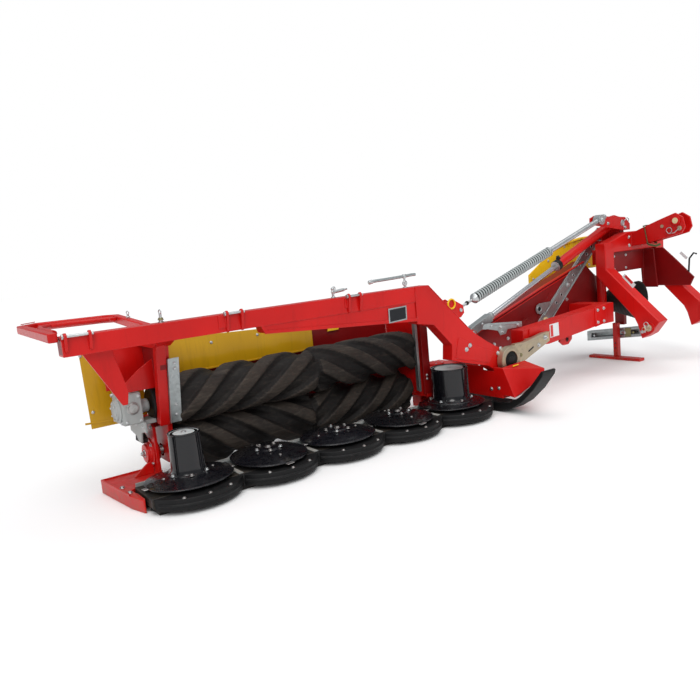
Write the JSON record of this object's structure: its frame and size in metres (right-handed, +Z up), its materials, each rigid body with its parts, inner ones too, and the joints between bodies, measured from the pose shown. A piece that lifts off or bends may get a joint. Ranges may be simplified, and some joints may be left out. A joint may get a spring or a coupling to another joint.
{
  "type": "disc mower",
  "caption": "Side-mounted disc mower with a rubber-roll conditioner, a guard hoop, a lift arm and a three-point headstock, parked on its skids and stand.",
  "frame": {"origin": "centre of the whole machine's box, on the ground, with the mower parked", "axes": "+X along the cutter bar from its outer end to the hitch, -Y the direction of travel, +Z up"},
  "size_m": [4.6841, 1.1583, 1.1436],
  "materials": {
    "red_paint": "gloss red enamel with worn edges",
    "dark_red_paint": "red enamel in shade, dusty",
    "yellow_sheet": "yellow enamel on sheet",
    "black_paint": "gloss black enamel",
    "black_rubber": "matte moulded rubber",
    "zinc_plate": "galvanized, mottled",
    "yellow_zinc": "yellow zinc plating, scuffed",
    "chrome_rod": "polished rod",
    "cast_grey": "light grey enamel on steel and castings"
  },
  "bodies": {
    "hitch_frame": {"headstock": "red_paint", "back_panel": "dark_red_paint", "toplink_bracket": "red_paint", "mast": "red_paint", "pto_gearbox": "red_paint", "pto_guard": "black_paint", "stand_column": "dark_red_paint", "stand_bracket": "zinc_plate", "lift_arm": "dark_red_paint", "front_beam": "red_paint", "eye_arm": "yellow_zinc", "pivot_pin": "black_paint", "link_lever": "zinc_plate", "height_strut": "zinc_plate", "rear_guard": "yellow_sheet"},
    "mower": {"cutter_bar": "cast_grey", "rock_guards": "black_paint", "outer_shoe": "red_paint", "inner_shoe": "red_paint", "inner_skid": "black_paint", "main_beam": "red_paint", "gooseneck": "red_paint", "spring_bracket": "red_paint", "outer_side": "red_paint", "outer_brace": "red_paint", "roll_gearbox": "cast_grey", "guard_hoop": "red_paint", "outer_panel": "yellow_sheet", "rear_panel": "yellow_sheet", "rear_hood": "dark_red_paint", "inner_side": "red_paint", "bar_gearcase": "red_paint"},
    "disc_1": {"disc_1": "black_paint"},
    "disc_2": {"disc_2": "black_paint"},
    "disc_3": {"disc_3": "black_paint"},
    "disc_4": {"disc_4": "black_paint"},
    "disc_5": {"disc_5": "black_paint"},
    "roll_upper": {"roll_upper": "black_rubber", "roll_pulley": "black_paint"},
    "roll_lower": {"roll_lower": "black_rubber"},
    "cylinder_barrel": {"cylinder_barrel": "red_paint"},
    "cylinder_rod": {"cylinder_rod": "chrome_rod"},
    "spring_swivel": {"spring_trunnion": "zinc_plate"},
    "relief_spring": {"relief_spring": "zinc_plate", "spring_rod": "chrome_rod"},
    "input_shaft": {"input_shaft": "chrome_rod"},
    "parking_stand": {"parking_stand": "red_paint"}
  },
  "joints": [
    {"name": "bar_fold", "type": "hinge", "parent": "hitch_frame", "child": "mower", "pos_m": [0.237, -0.0872, 0.305], "axis": [0, 1, 0], "range_deg": [-12, 88]},
    {"name": "disc_1_spin", "type": "hinge", "parent": "mower", "child": "disc_1", "pos_m": [-1.813, -0.0872, 0.1], "axis": [0, 0, 1], "continuous": true},
    {"name": "disc_2_spin", "type": "hinge", "parent": "mower", "child": "disc_2", "pos_m": [-1.393, -0.0872, 0.1], "axis": [0, 0, 1], "continuous": true},
    {"name": "disc_3_spin", "type": "hinge", "parent": "mower", "child": "disc_3", "pos_m": [-0.973, -0.0872, 0.1], "axis": [0, 0, 1], "continuous": true},
    {"name": "disc_4_spin", "type": "hinge", "parent": "mower", "child": "disc_4", "pos_m": [-0.553, -0.0872, 0.1], "axis": [0, 0, 1], "continuous": true},
    {"name": "disc_5_spin", "type": "hinge", "parent": "mower", "child": "disc_5", "pos_m": [-0.133, -0.0872, 0.1], "axis": [0, 0, 1], "continuous": true},
    {"name": "roll_upper_spin", "type": "hinge", "parent": "mower", "child": "roll_upper", "pos_m": [-1.013, 0.1748, 0.415], "axis": [1, 0, 0], "continuous": true},
    {"name": "roll_lower_spin", "type": "hinge", "parent": "mower", "child": "roll_lower", "pos_m": [-1.013, 0.2478, 0.16], "axis": [1, 0, 0], "continuous": true},
    {"name": "cylinder_swing", "type": "hinge", "parent": "hitch_frame", "child": "cylinder_barrel", "pos_m": [1.767, 0.0378, 1.07], "axis": [0, 1, 0], "range_deg": [-6.3, 1]},
    {"name": "cylinder_stroke", "type": "slide", "parent": "cylinder_barrel", "child": "cylinder_rod", "axis": [-0.935, 0, -0.3547], "range_m": [-0.17, 0.025]},
    {"name": "spring_swing", "type": "hinge", "parent": "hitch_frame", "child": "spring_swivel", "pos_m": [1.427, -0.0872, 1.105], "axis": [0, 1, 0], "range_deg": [-13.6, 2]},
    {"name": "spring_slide", "type": "slide", "parent": "spring_swivel", "child": "relief_spring", "axis": [-0.9541, 0, -0.2996], "range_m": [-0.54, 0.078]},
    {"name": "input_spin", "type": "hinge", "parent": "hitch_frame", "child": "input_shaft", "pos_m": [1.787, 0.0128, 0.49], "axis": [0, 1, 0], "continuous": true},
    {"name": "stand_slide", "type": "slide", "parent": "hitch_frame", "child": "parking_stand", "axis": [0, 0, 1], "range_m": [0, 0.2]}
  ],
  "couplings": [
    {"joint": "disc_2_spin", "follows": "disc_1_spin", "ratio": -1},
    {"joint": "disc_3_spin", "follows": "disc_1_spin", "ratio": 1},
    {"joint": "disc_4_spin", "follows": "disc_1_spin", "ratio": -1},
    {"joint": "disc_5_spin", "follows": "disc_1_spin", "ratio": 1},
    {"joint": "roll_lower_spin", "follows": "roll_upper_spin", "ratio": -1},
    {"joint": "cylinder_swing", "follows": "bar_fold", "ratio": -0.06896},
    {"joint": "cylinder_stroke", "follows": "bar_fold", "m_per_rad": -0.10926},
    {"joint": "spring_swing", "follows": "bar_fold", "ratio": -0.15233},
    {"joint": "spring_slide", "follows": "bar_fold", "m_per_rad": -0.34778}
  ]
}
